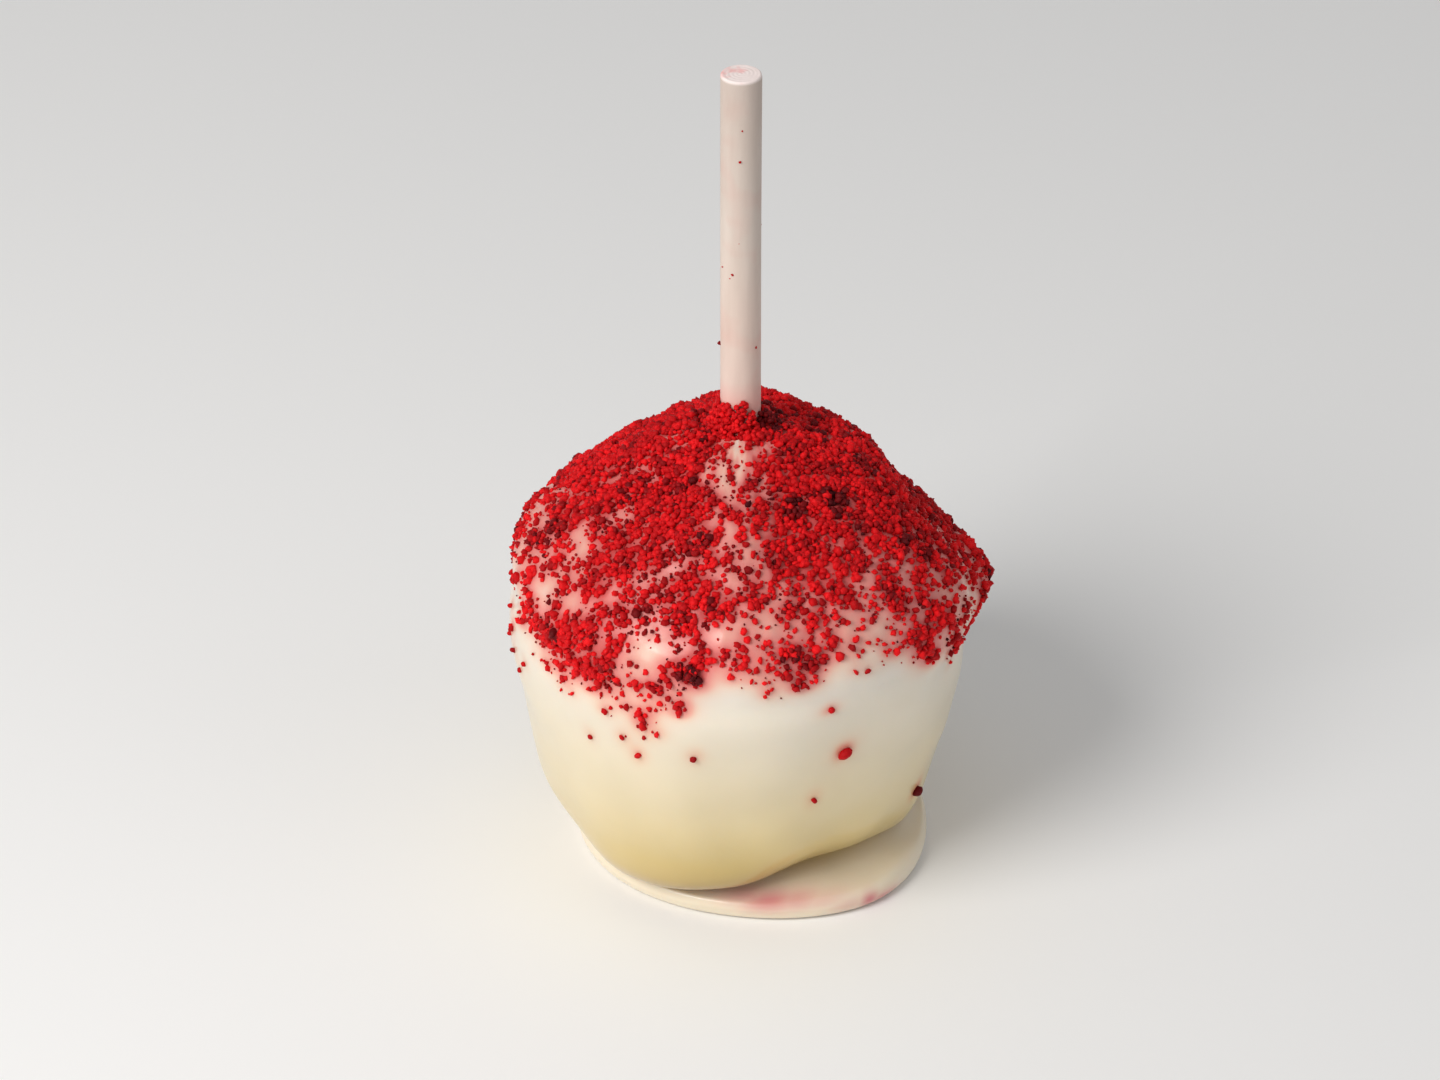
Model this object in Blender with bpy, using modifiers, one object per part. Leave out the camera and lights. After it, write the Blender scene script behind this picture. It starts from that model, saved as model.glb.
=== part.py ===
"""Cake pop: a tall muffin-shaped cake in poured white coating, with red cake crumbs on its
dome and a paper stick pushed in from above. It stands on the flat foot of the coating.

Metres, +Z up. The origin is the middle of the foot's flat face, and -Y is the front."""

import math
import random

import bmesh
import bpy
import numpy as np
from mathutils import Matrix, Vector

MM = 0.001

# Driving dimensions
STICK_RADIUS = 3.0 * MM
STICK_LENGTH = 100.0 * MM
STICK_DEPTH = 44.0 * MM  # how far the stick goes into the cake
GAP = 0.3 * MM  # clearance between the stick and the cake
MIDDLE = Vector((0.8, 0.35)) * MM  # where the rings' common middle stands, to centre the whole

# The coat is a loft through these rings, from the middle of the underside to the peak. Each
# has its height, radius and the shift of its middle in x and y, then its lobes: azimuth,
# half width in degrees, what it adds to the radius and to the height. Millimetres.
RINGS = (
    (0.0, 0.0, 0.0, 0.0, ()),
    (0.0, 15.0, 0.0, 0.0, ()),
    (0.0, 24.2, 0.0, 0.0, ((-50, 26, 3.0, 0.0), (-140, 40, 0.6, 0.0))),  # edge of the underside
    (1.3, 25.9, 0.0, 0.0, ((-50, 24, 3.6, 0.2), (-140, 40, 0.7, 0.0))),  # rim of the foot
    (2.6, 25.2, 0.0, 0.0, ((-50, 26, 2.8, 0.7), (-140, 40, 0.8, 0.0))),
    (3.3, 24.2, -1.2, 0.8, ((-58, 32, -2.2, 3.0), (-145, 30, 0.8, 0.0), (-8, 14, 0.8, 0.0))),  # crease
    (5.0, 26.4, -1.5, 0.6, ((-58, 30, -2.0, 2.6), (-112, 22, 2.5, -0.4), (-20, 12, 0.6, -0.6))),
    (12.0, 29.6, -2.0, 0.4, ((-55, 40, -0.6, 1.0), (-118, 22, 0.3, 0.0))),
    (22.0, 31.9, -2.0, 0.3, ((0, 30, -0.4, 0.0),)),
    (31.0, 33.8, -1.4, 0.0, ((0, 35, -1.0, 0.0),)),
    (38.5, 35.2, -0.6, 0.0, ((0, 35, -2.8, 0.0),)),
    (42.3, 34.9, 0.0, 0.0, ((10, 45, -2.2, 0.0), (5, 10, 2.6, 0.0))),  # brim, where the dome starts
    (48.1, 34.4, 0.0, 0.0, ((30, 40, -5.4, 0.0),)),
    (55.9, 28.4, 0.0, 0.0, ((28, 42, -6.4, 0.0), (142, 26, -0.9, 0.0))),
    (63.0, 17.8, -0.6, 1.0, ((38, 45, -0.6, 0.0), (140, 30, -0.5, 0.0))),
    (66.8, 8.6, -1.4, 2.2, ((38, 45, -1.0, 0.0),)),
    (68.6, 0.0, -1.8, 3.0, ()),  # peak, where the stick goes in
)
CREASE_RING = 5
LAST_RING = len(RINGS) - 1
BRIM_RADIUS = 35.0 * MM
PEAK = Vector((RINGS[-1][2], RINGS[-1][3], RINGS[-1][0])) * MM + MIDDLE.to_3d()

AROUND, PER_RING = 48, 2  # faces round the coat, and rows of faces from ring to ring

# Swells and dents: azimuth and height of the middle, half widths round and up the surface,
# turn of the long axis in degrees, and rise, in millimetres apart from the angles
CORE = Vector((0, 0, 30 * MM)) + MIDDLE.to_3d()
SWELL_FADE = 6 * MM  # height below which the swells die out towards the flat underside
SWELLS = (
    (-148, 62.5, 3.5, 8.0, 0, -1.6),  # gully down the left of the dome
    (-136, 50.0, 8.0, 5.0, 0, 0.9),
    (-96, 60.0, 4.0, 10.0, 0, 0.9),  # rib in the middle of the dome's front
    (-72, 61.5, 3.5, 8.0, 0, -1.4),  # gully beside it
    (-35, 52.0, 7.0, 6.0, 0, 0.8),
    (75, 55.0, 9.0, 7.0, 0, 0.9),
    (38, 65.0, 5.0, 4.0, 0, -1.3),
    (125, 58.0, 5.0, 8.0, 0, -1.2),
    (165, 50.0, 9.0, 6.0, 0, 0.8),
    (-106, 20.0, 8.0, 7.0, 0, 0.6),  # soft swells of the poured side
    (-62, 27.0, 6.0, 9.0, 20, -0.7),
    (60, 22.0, 10.0, 8.0, 0, 0.6),
    (140, 28.0, 8.0, 9.0, 0, -0.6),
)

# Crumbs: the largest ones, which stand out of the coat
CRUMB_COUNT = 200
CRUMB_SEED = 11
CRUMB_RADII = (0.8 * MM, 1.6 * MM)
CRUMB_RAISE = 0.3  # share of the radius by which a crumb's middle clears the coat
CRUMB_FADE = 4.0 * MM  # height over which the crumbs thin out below their edge
CRUMB_EDGE_HEIGHT = 42.0 * MM
# azimuth, half width in degrees, change of the height in millimetres
CRUMB_EDGE_DIPS = (
    (-140, 24, -6.0),
    (-104, 4.5, 6.0),
    (-68, 16, 6.0),
    (-8, 22, -7.0),
    (60, 28, 3.0),
    (112, 18, -2.5),
    (150, 16, 3.5),
)


def lobe(azimuth, middle, width):
    """A bell round the azimuth in degrees, 1 at the middle."""
    away = (azimuth - middle + 180) % 360 - 180
    return np.exp(-0.5 * (away / width) ** 2)


def ring_points(azimuth):
    """Where every ring passes each azimuth: an array of rings by azimuths by x, y, z."""
    turn = np.radians(azimuth)
    rows = []
    for height, radius, shift_x, shift_y, lobes in RINGS:
        bells = [lobe(azimuth, middle, width) for middle, width, _, _ in lobes]
        out = radius + sum(bell * each[2] for bell, each in zip(bells, lobes))
        up = height + sum(bell * each[3] for bell, each in zip(bells, lobes)) + 0 * turn
        rows.append(np.stack((shift_x + out * np.cos(turn), shift_y + out * np.sin(turn), up), -1))
    return np.array(rows) * MM + np.array(MIDDLE.to_3d())


def lofted_points(along, azimuth):
    """Points of the coat before its swells: a Catmull-Rom curve through the rings at each
    azimuth. Along counts the rings, from 0 to LAST_RING."""
    rings = ring_points(azimuth)
    below = np.clip(np.floor(along).astype(int), 0, LAST_RING - 1)
    share = (along - below)[:, None]
    column = np.arange(len(along))
    a, b, c, d = (rings[np.clip(below + step, 0, LAST_RING), column] for step in (-1, 0, 1, 2))
    points = 0.5 * (
        2 * b
        + (c - a) * share
        + (2 * a - 5 * b + 4 * c - d) * share**2
        + (3 * b - a - 3 * c + d) * share**3
    )
    points[:, 2] = np.maximum(points[:, 2], 0)
    return points


def along_at(height, azimuth):
    """Where the side or the dome reaches a height."""
    steps = np.linspace(CREASE_RING, LAST_RING, 400)
    heights = lofted_points(steps, np.full_like(steps, azimuth))[:, 2]
    return float(np.interp(height, heights, steps))


def coat_points(along, azimuth):
    """Points of the coat. Each swell is a bell over the surface, and lifts it away from the core."""
    points = lofted_points(along, azimuth)
    moved = points.copy()
    lift = np.clip(points[:, 2] / SWELL_FADE, 0, 1) * MM
    for swell_azimuth, height, half_round, half_up, tilt, rise in SWELLS:
        at = along_at(height * MM, swell_azimuth)
        middle = lofted_points(np.array([at]), np.array([float(swell_azimuth)]))[0]
        out = (Vector(middle) - CORE).normalized()
        turn = math.radians(swell_azimuth)
        round_way = Vector((-math.sin(turn), math.cos(turn), 0))
        round_way = Matrix.Rotation(math.radians(tilt), 3, out) @ round_way
        up_way = out.cross(round_way)
        away = points - middle
        bell = np.exp(
            -0.5 * (away @ np.array(round_way) / (half_round * MM)) ** 2
            - 0.5 * (away @ np.array(up_way) / (half_up * MM)) ** 2
            - 0.5 * (away @ np.array(out) / (2 * half_round * MM)) ** 2
        )
        moved += (bell * rise * lift)[:, None] * np.array(out)
    return moved


def coat_normal(along, azimuth):
    """Outward normal of the coat at one place."""
    step = 0.05
    alongs = np.clip(np.array([along - step, along + step, along, along]), 0, LAST_RING)
    azimuths = azimuth + np.array([0, 0, -1.0, 1.0])
    low, high, left, right = (Vector(point) for point in coat_points(alongs, azimuths))
    return (right - left).cross(high - low).normalized()


def crumb_edge(azimuth):
    """Height of the crumbs' lower edge."""
    dips = sum(rise * MM * lobe(azimuth, at, width) for at, width, rise in CRUMB_EDGE_DIPS)
    return CRUMB_EDGE_HEIGHT + dips


def material(name, colour, roughness):
    made = bpy.data.materials.new(name)
    made.use_nodes = True
    shader = made.node_tree.nodes["Principled BSDF"]
    shader.inputs["Base Color"].default_value = (*colour, 1)
    shader.inputs["Roughness"].default_value = roughness
    shader.inputs["Metallic"].default_value = 0
    return made


def add_object(name, mesh_maker, collection, *materials):
    """A mesh object from a filled bmesh."""
    mesh = bpy.data.meshes.new(name)
    mesh_maker.to_mesh(mesh)
    mesh_maker.free()
    for each in materials:
        mesh.materials.append(each)
    made = bpy.data.objects.new(name, mesh)
    collection.objects.link(made)
    return made


def make_coat(collection, *materials):
    """A sphere whose rows and columns are carried onto the coat."""
    ball = bmesh.new()
    rows = PER_RING * LAST_RING
    bmesh.ops.create_uvsphere(ball, u_segments=AROUND, v_segments=rows, radius=1)
    places = np.array([vertex.co for vertex in ball.verts])
    along = LAST_RING * (1 - np.arccos(np.clip(places[:, 2], -1, 1)) / math.pi)
    azimuth = np.degrees(np.arctan2(places[:, 1], places[:, 0]))
    for vertex, point in zip(ball.verts, coat_points(along, azimuth)):
        vertex.co = point
    coat = add_object("coated_cake", ball, collection, *materials)
    coat.data.shade_smooth()
    return coat


def crumb_places(draw):
    """Middle, radius and normal of each crumb, the largest first, no two of them touching."""
    radii = sorted(
        (CRUMB_RADII[0] + (CRUMB_RADII[1] - CRUMB_RADII[0]) * draw.random() ** 2
         for _ in range(CRUMB_COUNT)),
        reverse=True,
    )
    taken = []
    for radius in radii:
        while True:
            azimuth = draw.uniform(-180, 180)
            along = draw.uniform(CREASE_RING, LAST_RING)
            point = coat_points(np.array([along]), np.array([azimuth]))[0]
            spot = Vector(point)
            room = spot.to_2d().length / BRIM_RADIUS  # rows near the peak are shorter
            above = (spot.z - crumb_edge(azimuth)) / CRUMB_FADE
            if draw.random() > room or draw.random() > 0.5 + 0.5 * above:
                continue
            if all((spot - other).length > 1.1 * (radius + size) for other, size, _ in taken):
                taken.append((spot, radius, coat_normal(along, azimuth)))
                break
    return taken


def make_crumbs(collection, crumb_material):
    """Angular lumps set into the coat, one object each."""
    draw = random.Random(CRUMB_SEED)
    for number, (spot, radius, normal) in enumerate(crumb_places(draw)):
        lump = bmesh.new()
        bmesh.ops.create_icosphere(lump, subdivisions=1, radius=radius)
        stretch = Vector((draw.uniform(0.75, 1.3), draw.uniform(0.75, 1.3), draw.uniform(0.7, 1.0)))
        for vertex in lump.verts:
            vertex.co = vertex.co * stretch * draw.uniform(0.85, 1.15)
        spin = Matrix.Rotation(draw.uniform(0, 2 * math.pi), 4, "Z")
        upright = normal.to_track_quat("Z", "Y").to_matrix().to_4x4()
        middle = Matrix.Translation(spot + normal * radius * CRUMB_RAISE)
        bmesh.ops.transform(lump, matrix=middle @ upright @ spin, verts=lump.verts)
        add_object(f"crumb_{number:03d}", lump, collection, crumb_material)


def make_rod(name, radius, bottom, length, collection, edge=0.0, *materials):
    """An upright round rod on the stick's axis, with its rims rounded by edge."""
    rod = bmesh.new()
    bmesh.ops.create_cone(
        rod, cap_ends=True, segments=32, radius1=radius, radius2=radius, depth=length
    )
    bmesh.ops.translate(rod, vec=(0, 0, length / 2), verts=rod.verts)
    made = add_object(name, rod, collection, *materials)
    made.location = (PEAK.x, PEAK.y, bottom)
    if edge:
        rounding = made.modifiers.new("rims", "BEVEL")
        rounding.width = edge
        rounding.segments = 2
        rounding.limit_method = "ANGLE"
    return made


def applied(target):
    """Makes the target's evaluated mesh its own, and keeps the one closed body of it."""
    graph = bpy.context.evaluated_depsgraph_get()
    mesh = bpy.data.meshes.new_from_object(target.evaluated_get(graph))
    target.modifiers.clear()
    target.data = mesh
    whole = bmesh.new()
    whole.from_mesh(mesh)
    left = set(whole.verts)
    bodies = []
    while left:
        body, edge_of_body = set(), [left.pop()]
        while edge_of_body:
            vertex = edge_of_body.pop()
            body.add(vertex)
            near = {edge.other_vert(vertex) for edge in vertex.link_edges} & left
            left -= near
            edge_of_body.extend(near)
        bodies.append(body)
    largest = max(bodies, key=len)
    scraps = [vertex for body in bodies if body is not largest for vertex in body]
    bmesh.ops.delete(whole, geom=scraps, context="VERTS")
    whole.to_mesh(mesh)
    whole.free()


def boolean(target, name, operation, solver, other=None, collection=None):
    made = target.modifiers.new(name, "BOOLEAN")
    made.operation = operation
    made.solver = solver
    made.operand_type = "COLLECTION" if collection else "OBJECT"
    made.collection = collection
    made.object = other
    return made


def new_collection(name, hidden=False):
    made = bpy.data.collections.new(name)
    bpy.context.scene.collection.children.link(made)
    made.hide_render = hidden
    return made


def main():
    for old in list(bpy.data.objects):
        bpy.data.objects.remove(old)
    parts = new_collection("cake_pop")
    crumbs = new_collection("crumbs")
    cutters = new_collection("cutters", hidden=True)
    white = material("white_coating", (0.84, 0.79, 0.66), 0.28)
    red = material("red_crumb", (0.42, 0.008, 0.008), 0.75)
    paper = material("stick_paper", (0.80, 0.68, 0.60), 0.7)

    coat = make_coat(parts, white, red)
    make_crumbs(crumbs, red)
    boolean(coat, "crumbs", "UNION", "MANIFOLD", collection=crumbs)
    applied(coat)
    for crumb in list(crumbs.objects):
        bpy.data.objects.remove(crumb)
    bpy.data.collections.remove(crumbs)

    stick_bottom = PEAK.z - STICK_DEPTH
    make_rod("stick", STICK_RADIUS, stick_bottom, STICK_LENGTH, parts, 0.25 * MM, paper)
    bore = make_rod("stick_bore", STICK_RADIUS + GAP, stick_bottom - GAP, STICK_LENGTH, cutters)
    bore.hide_render = True
    bore.display_type = "WIRE"
    boolean(coat, "stick_bore", "DIFFERENCE", "EXACT", other=bore)


main()
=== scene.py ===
import math

import bpy
import numpy as np
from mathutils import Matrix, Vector


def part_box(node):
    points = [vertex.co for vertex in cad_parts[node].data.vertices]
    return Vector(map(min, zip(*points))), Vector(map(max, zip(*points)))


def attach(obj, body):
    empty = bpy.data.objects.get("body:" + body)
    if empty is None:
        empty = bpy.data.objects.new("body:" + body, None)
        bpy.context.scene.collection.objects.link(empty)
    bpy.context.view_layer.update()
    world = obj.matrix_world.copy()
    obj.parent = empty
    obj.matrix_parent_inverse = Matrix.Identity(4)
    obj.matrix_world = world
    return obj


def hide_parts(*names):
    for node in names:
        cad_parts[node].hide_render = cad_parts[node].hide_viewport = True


mm = 0.001

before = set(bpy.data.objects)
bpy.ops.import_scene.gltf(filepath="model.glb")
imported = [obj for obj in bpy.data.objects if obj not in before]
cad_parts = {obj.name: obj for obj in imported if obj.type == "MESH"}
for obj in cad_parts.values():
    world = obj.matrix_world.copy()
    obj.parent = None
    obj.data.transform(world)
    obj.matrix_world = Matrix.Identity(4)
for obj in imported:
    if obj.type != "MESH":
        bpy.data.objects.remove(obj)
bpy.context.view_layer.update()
stickLow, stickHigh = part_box("stick")
stickMiddle = (stickLow + stickHigh) / 2
stickRadius = (stickHigh.x - stickLow.x) / 2
print("frame loaded")


# Maths that all pieces share.

def bell(away, width):
    # exp(-(away / width)^2 / 2)
    return np.exp(-0.5 * (away / width) ** 2)


def turnBetween(azimuth, middle):
    # signed difference of two azimuths in degrees, -180 to 180
    return (azimuth - middle + 180) % 360 - 180


def ease(low, high, value):
    # 3s^2 - 2s^3 with s the share of the way from low to high
    s = np.clip((value - low) / (high - low), 0, 1)
    return s * s * (3 - 2 * s)


def waves(points, size, count, seed):
    # sqrt(2 / count) * sum of sin(2 pi d.p / (size * w) + phase), plane waves in random directions
    draw = np.random.default_rng(seed)
    ways = draw.normal(size=(count, 3))
    ways /= np.linalg.norm(ways, axis=1, keepdims=True)
    lengths = size * draw.uniform(0.7, 1.5, count)
    phases = draw.uniform(0, 2 * math.pi, count)
    return np.sin(points @ (ways / lengths[:, None]).T * 2 * math.pi + phases).sum(1) * math.sqrt(2 / count)


def blurred(grid, cells, axis, wrap):
    # running bell average along one axis of a grid, cells wide
    reach = int(3 * cells) + 1
    weights = bell(np.arange(-reach, reach + 1), cells)
    pad = [(0, 0), (0, 0)]
    pad[axis] = (reach, reach)
    wide = np.pad(grid, pad, mode="wrap" if wrap else "edge")
    return np.apply_along_axis(lambda line: np.convolve(line, weights / weights.sum(), "valid"), axis, wide)


# Helpers for meshes and materials.

def ringFaces(rows, around):
    # quads between neighbouring rows of a closed band, then fans to the two pole vertices after it
    row, column = np.meshgrid(np.arange(rows - 1), np.arange(around), indexing="ij")
    nextColumn = (column + 1) % around
    quads = np.stack((row * around + column, row * around + nextColumn,
                      (row + 1) * around + nextColumn, (row + 1) * around + column), -1)
    edge = np.arange(around)
    nextEdge = (edge + 1) % around
    low, high = rows * around, rows * around + 1
    top = (rows - 1) * around
    lowFan = np.stack((edge * 0 + low, nextEdge, edge), -1)
    highFan = np.stack((edge * 0 + high, edge + top, nextEdge + top), -1)
    return quads.reshape(-1, 4).tolist() + lowFan.tolist() + highFan.tolist()


def newPiece(name, points, faces, material, attributes=None):
    # a smooth mesh on the root body, with a float attribute for each key
    mesh = bpy.data.meshes.new(name)
    mesh.from_pydata(points.tolist(), [], faces)
    mesh.update()
    mesh.shade_smooth()
    for key, values in (attributes or {}).items():
        layer = mesh.attributes.new(key, "FLOAT", "POINT")
        layer.data.foreach_set("value", np.asarray(values, np.float32))
    mesh.materials.append(material)
    piece = bpy.data.objects.new(name, mesh)
    bpy.context.scene.collection.objects.link(piece)
    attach(piece, "root")
    print(name, len(points), "points", len(faces), "faces")
    return piece


def newMaterial(name, roughness, **sockets):
    # a Principled material, with further sockets by their names, _ for each space
    material = bpy.data.materials.new(name)
    material.use_nodes = True
    shader = material.node_tree.nodes["Principled BSDF"]
    shader.inputs["Roughness"].default_value = roughness
    for key, value in sockets.items():
        shader.inputs[key.replace("_", " ")].default_value = value
    return material, material.node_tree, shader


def addNode(tree, kind, settings=None, **links):
    # a node with its plain inputs and its links, each link a socket of another node
    node = tree.nodes.new(kind)
    for key, value in (settings or {}).items():
        if isinstance(key, str) and hasattr(node, key):
            setattr(node, key, value)
        else:
            node.inputs[key].default_value = value
    for key, socket in links.items():
        tree.links.new(socket, node.inputs[key.replace("_", " ")])
    return node


def ramp(tree, value, stops):
    # a colour ramp over value, stops are (place, (r, g, b))
    node = addNode(tree, "ShaderNodeValToRGB", Fac=value)
    elements = node.color_ramp.elements
    while len(elements) < len(stops):
        elements.new(0.5)
    for element, (place, colour) in zip(elements, stops):
        element.position = place
        element.color = (*colour, 1)
    return node.outputs["Color"]


def mixed(tree, share, first, second, blendType="MIX"):
    # a mix of two colours by a share, each of them a value or a socket
    node = tree.nodes.new("ShaderNodeMix")
    node.data_type = "RGBA"
    node.blend_type = blendType
    for index, value in ((0, share), (6, first), (7, second)):
        if isinstance(value, bpy.types.NodeSocket):
            tree.links.new(value, node.inputs[index])
        else:
            node.inputs[index].default_value = value if index == 0 else (*value, 1)
    return node.outputs[2]


def grain(tree, scale, detail, stretch=(1, 1, 1)):
    # noise over Object coordinates, scale in features per metre
    place = tree.nodes.new("ShaderNodeTexCoord").outputs["Object"]
    mapping = addNode(tree, "ShaderNodeMapping", {"Scale": stretch}, Vector=place)
    settings = {"Scale": scale, "Detail": detail}
    return addNode(tree, "ShaderNodeTexNoise", settings, Vector=mapping.outputs[0]).outputs["Fac"]


def painted(tree, name):
    # the value that the mesh carries under a name
    return addNode(tree, "ShaderNodeAttribute", {"attribute_name": name}).outputs["Fac"]


def bumped(tree, shader, height, depth, strength):
    # a bump of the given depth in metres
    bump = addNode(tree, "ShaderNodeBump", {"Strength": strength, "Distance": depth}, Height=height)
    tree.links.new(bump.outputs["Normal"], shader.inputs["Normal"])


# The poured coating.

coatShape = {
    # middle of the underside to the peak: height, radius, shift of the middle in x and y, then
    # lobes of azimuth, half width, change of radius and of height. Millimetres and degrees.
    "rings": (
        (0.0, 0.0, 0.0, 0.0, ()),
        (0.0, 15.0, 0.0, 0.0, ()),
        (0.0, 24.2, 0.0, 0.0, ((-50, 26, 3.0, 0.0), (-140, 40, 0.6, 0.0))),
        (1.3, 25.9, 0.0, 0.0, ((-50, 24, 3.6, 0.2), (-140, 40, 0.7, 0.0))),
        (2.6, 25.2, 0.0, 0.0, ((-50, 26, 2.8, 0.7), (-140, 40, 0.8, 0.0))),
        (3.3, 24.2, -1.2, 0.8, ((-58, 32, -2.2, 3.0), (-145, 30, 0.8, 0.0), (-8, 14, 0.8, 0.0))),
        (5.0, 26.4, -1.5, 0.6, ((-58, 30, -2.0, 2.6), (-112, 22, 2.5, -0.4), (-20, 12, 0.6, -0.6))),
        (12.0, 29.6, -2.0, 0.4, ((-55, 40, -0.6, 1.0), (-118, 22, 0.3, 0.0))),
        (22.0, 31.9, -2.0, 0.3, ((0, 30, -0.4, 0.0),)),
        (31.0, 33.8, -1.4, 0.0, ((0, 35, -1.0, 0.0),)),
        (38.5, 35.2, -0.6, 0.0, ((0, 35, -2.8, 0.0),)),
        (42.3, 34.9, 0.0, 0.0, ((10, 45, -2.2, 0.0), (5, 10, 2.6, 0.0))),
        (48.1, 34.4, 0.0, 0.0, ((30, 40, -5.4, 0.0),)),
        (55.9, 28.4, 0.0, 0.0, ((28, 42, -6.4, 0.0), (142, 26, -0.9, 0.0))),
        (63.0, 17.8, -0.6, 1.0, ((38, 45, -0.6, 0.0), (140, 30, -0.5, 0.0))),
        (66.8, 8.6, -1.4, 2.2, ((38, 45, -1.0, 0.0),)),
        (68.6, 0.0, -1.8, 3.0, ()),
    ),
    "middle": (0.8, 0.35, 0.0),
    "core": (0.8, 0.35, 30.0),
    # azimuth, height, half widths round and up, turn, rise
    "swells": (
        (-148, 62.5, 3.5, 8.0, 0, -1.6),
        (-136, 50.0, 8.0, 5.0, 0, 0.9),
        (-96, 60.0, 4.0, 10.0, 0, 0.9),
        (-72, 61.5, 3.5, 8.0, 0, -1.4),
        (-35, 52.0, 7.0, 6.0, 0, 0.8),
        (75, 55.0, 9.0, 7.0, 0, 0.9),
        (38, 65.0, 5.0, 4.0, 0, -1.3),
        (125, 58.0, 5.0, 8.0, 0, -1.2),
        (165, 50.0, 9.0, 6.0, 0, 0.8),
        (-106, 20.0, 8.0, 7.0, 0, 0.6),
        (-62, 27.0, 6.0, 9.0, 20, -0.7),
        (60, 22.0, 10.0, 8.0, 0, 0.6),
        (140, 28.0, 8.0, 9.0, 0, -0.6),
    ),
    "swellFade": 6.0,
    "rowsPerRing": (3, 4, 8, 7, 6, 8, 12, 14, 14, 14, 10, 14, 20, 24, 20, 18),
    "around": 420,
    # rolls of the foot's rim: place counted in rings, half width, rise in mm
    "rim": ((3.85, 0.25, 0.35), (4.45, 0.3, -0.35)),
    # ripples: height, length, count of waves, seed
    "pour": (0.16, 13.0, 14, 5),  # slow ones all over
    "bed": (0.09, 2.6, 16, 6),  # the crumpled bed below the crumbs
    "bedHeights": (44, 54),  # heights between which the bed sets in
    "holeClearance": 0.05,  # from the stick to the coating's rim
    "holeDepth": 0.3,  # from the stick's end down to the hole's floor
    "holeRows": (0.1, 0.5, 1.0),  # rows of the hole's wall, in shares of its depth
    "rimReach": (1.5, 4),  # rings below the peak where the rim is sought, and where rows bend to it
}
creaseRing = 5
lastRing = len(coatShape["rings"]) - 1


def ringPoints(azimuth):
    # (dx + r cos a, dy + r sin a, z), with each lobe's bell over a added to r and z
    turn = np.radians(azimuth)
    rows = []
    for height, radius, shiftX, shiftY, lobes in coatShape["rings"]:
        out, up = radius + 0 * turn, height + 0 * turn
        for middle, width, more, higher in lobes:
            share = bell(turnBetween(azimuth, middle), width)
            out = out + more * share
            up = up + higher * share
        rows.append(np.stack((shiftX + out * np.cos(turn), shiftY + out * np.sin(turn), up), -1))
    return (np.array(rows) + np.array(coatShape["middle"])) * mm


def loftedPoints(along, azimuth):
    # Catmull-Rom through the rings at each azimuth, along counts the rings
    rings = ringPoints(azimuth)
    below = np.clip(np.floor(along).astype(int), 0, lastRing - 1)
    s = (along - below)[:, None]
    column = np.arange(len(along))
    a, b, c, d = (rings[np.clip(below + step, 0, lastRing), column] for step in (-1, 0, 1, 2))
    square, cube = 2 * a - 5 * b + 4 * c - d, 3 * b - a - 3 * c + d
    points = 0.5 * (2 * b + (c - a) * s + square * s**2 + cube * s**3)
    points[:, 2] = np.maximum(points[:, 2], 0)
    return points


def alongAt(height, azimuth):
    # the ring count at which the side or dome reaches each height in mm, by azimuth in degrees
    steps = np.linspace(creaseRing, lastRing, 300)
    found = []
    for wanted, turn in zip(np.atleast_1d(height), np.atleast_1d(azimuth)):
        heights = loftedPoints(steps, np.full_like(steps, turn))[:, 2]
        found.append(np.interp(wanted * mm, heights, steps))
    return np.array(found)


def swellFrames():
    # for each swell its middle, outward way, way round and way up
    frames = []
    for azimuth, height, halfRound, halfUp, tilt, rise in coatShape["swells"]:
        middle = loftedPoints(alongAt(height, azimuth), np.array([float(azimuth)]))[0]
        out = middle - np.array(coatShape["core"]) * mm
        out /= np.linalg.norm(out)
        turn = math.radians(azimuth)
        way = np.array((-math.sin(turn), math.cos(turn), 0.0))
        lean = math.radians(tilt)
        way = way * math.cos(lean) + np.cross(out, way) * math.sin(lean)
        frames.append((middle, out, way, np.cross(out, way), halfRound * mm, halfUp * mm, rise * mm))
    return frames


swells = swellFrames()


def ripples(points, height, length, count, seed):
    # height * waves of the given length, both in mm
    return waves(points, length * mm, count, seed) * height * mm


def coatPoints(along, azimuth):
    # lofted point + sum of swells exp(-(u/U)^2/2 - (v/V)^2/2 - (w/2U)^2/2) * rise * outward,
    # + rolls of the rim upward, + pour and bed ripples outward from the core
    points = loftedPoints(along, azimuth)
    lift = np.clip(points[:, 2] / (coatShape["swellFade"] * mm), 0, 1)
    moved = points.copy()
    for middle, out, way, up, halfRound, halfUp, rise in swells:
        away = points - middle
        share = bell(away @ way, halfRound) * bell(away @ up, halfUp) * bell(away @ out, 2 * halfRound)
        moved += (share * rise * lift)[:, None] * out
    outward = points - np.array(coatShape["core"]) * mm
    outward /= np.maximum(np.linalg.norm(outward, axis=1, keepdims=True), 1e-6)
    pour = ripples(points, *coatShape["pour"])
    low, high = coatShape["bedHeights"]
    bed = ripples(points, *coatShape["bed"]) * ease(low * mm, high * mm, points[:, 2])
    for place, halfWidth, rise in coatShape["rim"]:
        moved[:, 2] += rise * mm * bell(along - place, halfWidth)
    return moved + ((pour + bed) * lift)[:, None] * outward


def coatNormals(along, azimuth):
    # cross product of the two small steps over the surface
    nearRing, nearTurn = 0.02, 0.5
    up = coatPoints(np.minimum(along + nearRing, lastRing), azimuth) - coatPoints(along - nearRing, azimuth)
    across = coatPoints(along, azimuth + nearTurn) - coatPoints(along, azimuth - nearTurn)
    normals = np.cross(across, up)
    return normals / np.maximum(np.linalg.norm(normals, axis=1, keepdims=True), 1e-12)


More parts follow.
